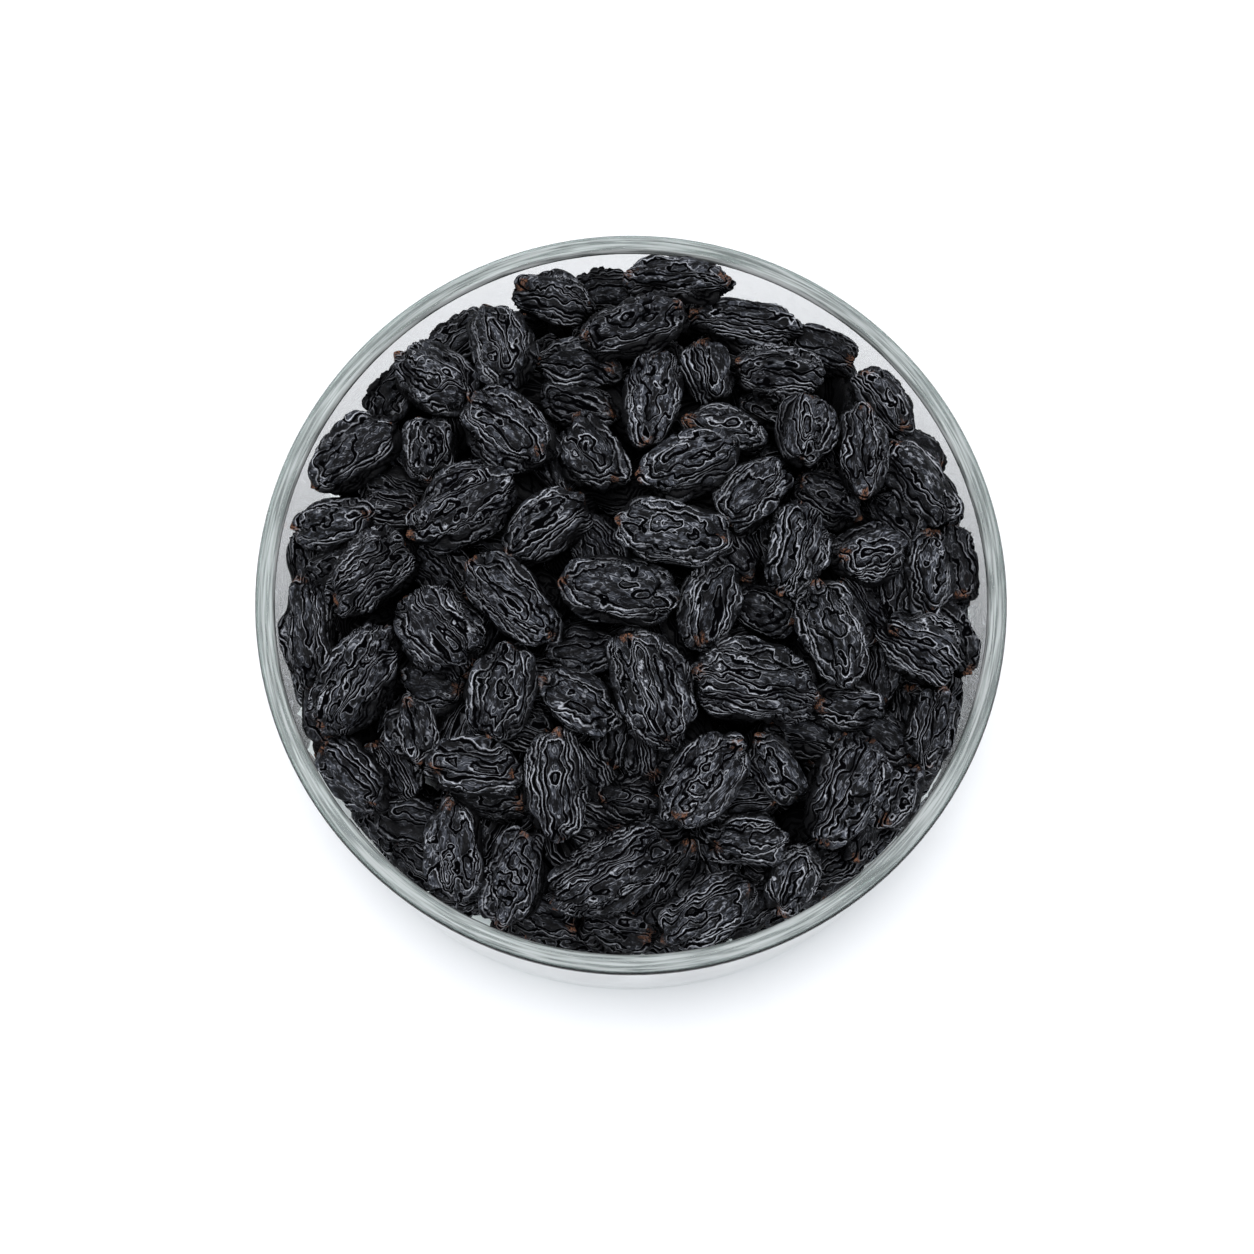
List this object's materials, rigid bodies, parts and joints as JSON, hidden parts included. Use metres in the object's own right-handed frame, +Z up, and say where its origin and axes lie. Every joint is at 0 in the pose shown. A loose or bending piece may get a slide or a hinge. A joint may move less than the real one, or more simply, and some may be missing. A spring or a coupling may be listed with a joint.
{
  "type": "bowl of black raisins",
  "caption": "Clear round glass bowl with straight walls and a flat base, heaped with wrinkled black raisins.",
  "frame": {"origin": "middle of the flat base, on the surface that the bowl stands on", "axes": "+Z up along the bowl's axis; the picture looks down from the -Y side; +X to its right"},
  "size_m": [0.12, 0.12, 0.0732],
  "materials": {
    "bowl_glass": "clear pressed glass, polished, a faint green-grey tint at the edges",
    "raisin_skin": "dried black grape skin, deeply wrinkled, satin with a cool sheen, rust-brown stem ends"
  },
  "bodies": {
    "root": {"bowl": "bowl_glass", "raisin_bed": "raisin_skin", "raisin_01": "raisin_skin", "raisin_02": "raisin_skin", "raisin_03": "raisin_skin", "raisin_04": "raisin_skin", "raisin_05": "raisin_skin", "raisin_06": "raisin_skin", "raisin_07": "raisin_skin", "raisin_08": "raisin_skin", "raisin_09": "raisin_skin", "raisin_10": "raisin_skin", "raisin_11": "raisin_skin", "raisin_12": "raisin_skin", "raisin_13": "raisin_skin", "raisin_14": "raisin_skin", "raisin_15": "raisin_skin", "raisin_16": "raisin_skin", "raisin_17": "raisin_skin", "raisin_18": "raisin_skin", "raisin_19": "raisin_skin", "raisin_20": "raisin_skin", "raisin_21": "raisin_skin", "raisin_22": "raisin_skin", "raisin_23": "raisin_skin", "raisin_24": "raisin_skin", "raisin_25": "raisin_skin", "raisin_26": "raisin_skin", "raisin_27": "raisin_skin", "raisin_28": "raisin_skin", "raisin_29": "raisin_skin", "raisin_30": "raisin_skin", "raisin_31": "raisin_skin", "raisin_32": "raisin_skin", "raisin_33": "raisin_skin", "raisin_34": "raisin_skin", "raisin_35": "raisin_skin", "raisin_36": "raisin_skin", "raisin_37": "raisin_skin", "raisin_38": "raisin_skin", "raisin_39": "raisin_skin", "raisin_40": "raisin_skin", "raisin_41": "raisin_skin", "raisin_42": "raisin_skin", "raisin_43": "raisin_skin", "raisin_44": "raisin_skin", "raisin_45": "raisin_skin", "raisin_46": "raisin_skin", "raisin_47": "raisin_skin", "raisin_48": "raisin_skin", "raisin_49": "raisin_skin", "raisin_50": "raisin_skin", "raisin_51": "raisin_skin", "raisin_52": "raisin_skin", "raisin_53": "raisin_skin", "raisin_54": "raisin_skin", "raisin_55": "raisin_skin", "raisin_56": "raisin_skin", "raisin_57": "raisin_skin", "raisin_58": "raisin_skin"}
  },
  "joints": []
}
